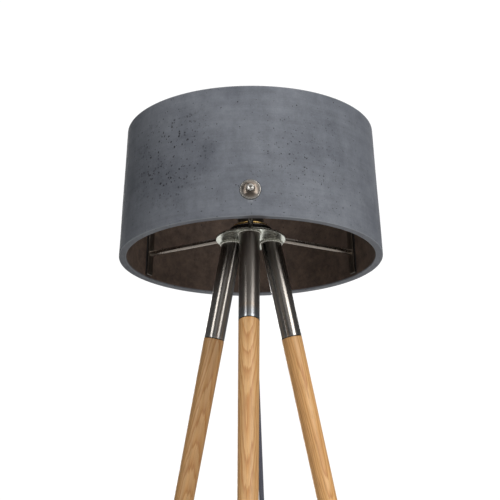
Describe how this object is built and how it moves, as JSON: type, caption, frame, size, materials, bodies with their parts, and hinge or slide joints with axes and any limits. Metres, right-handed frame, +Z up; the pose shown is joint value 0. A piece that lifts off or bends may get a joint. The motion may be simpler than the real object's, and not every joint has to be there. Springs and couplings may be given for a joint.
{
  "type": "tripod floor lamp",
  "caption": "Tripod lamp with a cast concrete ring shade on a steel spider, turned ash legs in steel sleeves, an inline foot switch and a braided cord.",
  "frame": {"origin": "on the shade's axis at floor level", "axes": "+Z up along the shade's axis, -Y towards the front leg and the front fixing screw"},
  "size_m": [0.61, 0.5503, 1.502],
  "materials": {
    "concrete": "fine cast concrete, dark blue-grey, matt with small pores",
    "stainless": "turned stainless, satin",
    "rubber": "matt",
    "bright_steel": "drawn round bar, satin",
    "black_steel": "black lacquer, satin",
    "brushed_plate": "brushed and clear lacquered",
    "gunmetal_tube": "blackened drawn tube, clear lacquered",
    "ash_wood": "oiled ash",
    "zinc": "zinc plated",
    "black_plastic": "fine moulded texture",
    "button_plastic": "satin moulded",
    "brass": "lacquered, satin",
    "phenolic": "moulded phenolic",
    "porcelain": "glazed",
    "nickel": "nickel plated",
    "clear_glass": "clear",
    "filament": "yellow phosphor",
    "textile_cord": "braided textile, dark slate",
    "wire_sleeve": "smooth"
  },
  "bodies": {
    "stand": {"shade_ring": "concrete", "flat_washers": "stainless", "cup_washers": "stainless", "fixing_screws": "stainless", "wall_gaskets": "rubber", "wall_tabs": "bright_steel", "spider_hub": "black_steel", "spider_rod_front": "bright_steel", "spider_rod_right": "bright_steel", "spider_rod_left": "bright_steel", "tripod_plate": "brushed_plate", "weld_beads": "brushed_plate", "sleeve_front": "gunmetal_tube", "sleeve_right": "gunmetal_tube", "sleeve_left": "gunmetal_tube", "leg_front": "ash_wood", "leg_right": "ash_wood", "leg_left": "ash_wood", "foot_pad_front": "rubber", "foot_pad_right": "rubber", "foot_pad_left": "rubber", "threaded_nipple": "zinc", "lock_nut": "zinc", "cord_grip": "black_plastic", "cup_cover": "brass", "holder_body": "phenolic", "holder_nut": "zinc", "earth_lug": "zinc", "porcelain_insert": "porcelain", "terminal_screws": "zinc", "thread_shell": "brass", "centre_contact": "zinc", "holder_collar": "black_steel", "inner_wires": "wire_sleeve", "cord_drop": "textile_cord", "switch_pad": "rubber", "switch_base": "black_plastic", "switch_cover": "black_plastic", "switch_contacts": "black_plastic", "switch_screws": "zinc", "switch_glands": "black_plastic", "cord_lead_in": "textile_cord", "cord_coil": "textile_cord", "cord_lead_out": "textile_cord", "plug_grip": "black_plastic", "plug_body": "black_plastic", "plug_pins": "nickel", "plug_earth_clips": "nickel"},
    "bulb": {"bulb_tip": "nickel", "bulb_insulator": "black_plastic", "bulb_cap": "nickel", "bulb_glass": "clear_glass", "bulb_stem": "clear_glass", "bulb_filaments": "filament"},
    "button": {"switch_button": "button_plastic"}
  },
  "joints": [
    {"name": "bulb_unscrew", "type": "hinge", "parent": "stand", "child": "bulb", "pos_m": [0, 0, 1.39], "axis": [0, 0, 1], "range_deg": [0, 900]},
    {"name": "switch_press", "type": "slide", "parent": "stand", "child": "button", "axis": [0, 0, -1], "range_m": [0, 0.003], "stiffness_N_per_m": 600, "springref_m": -0.0005}
  ]
}
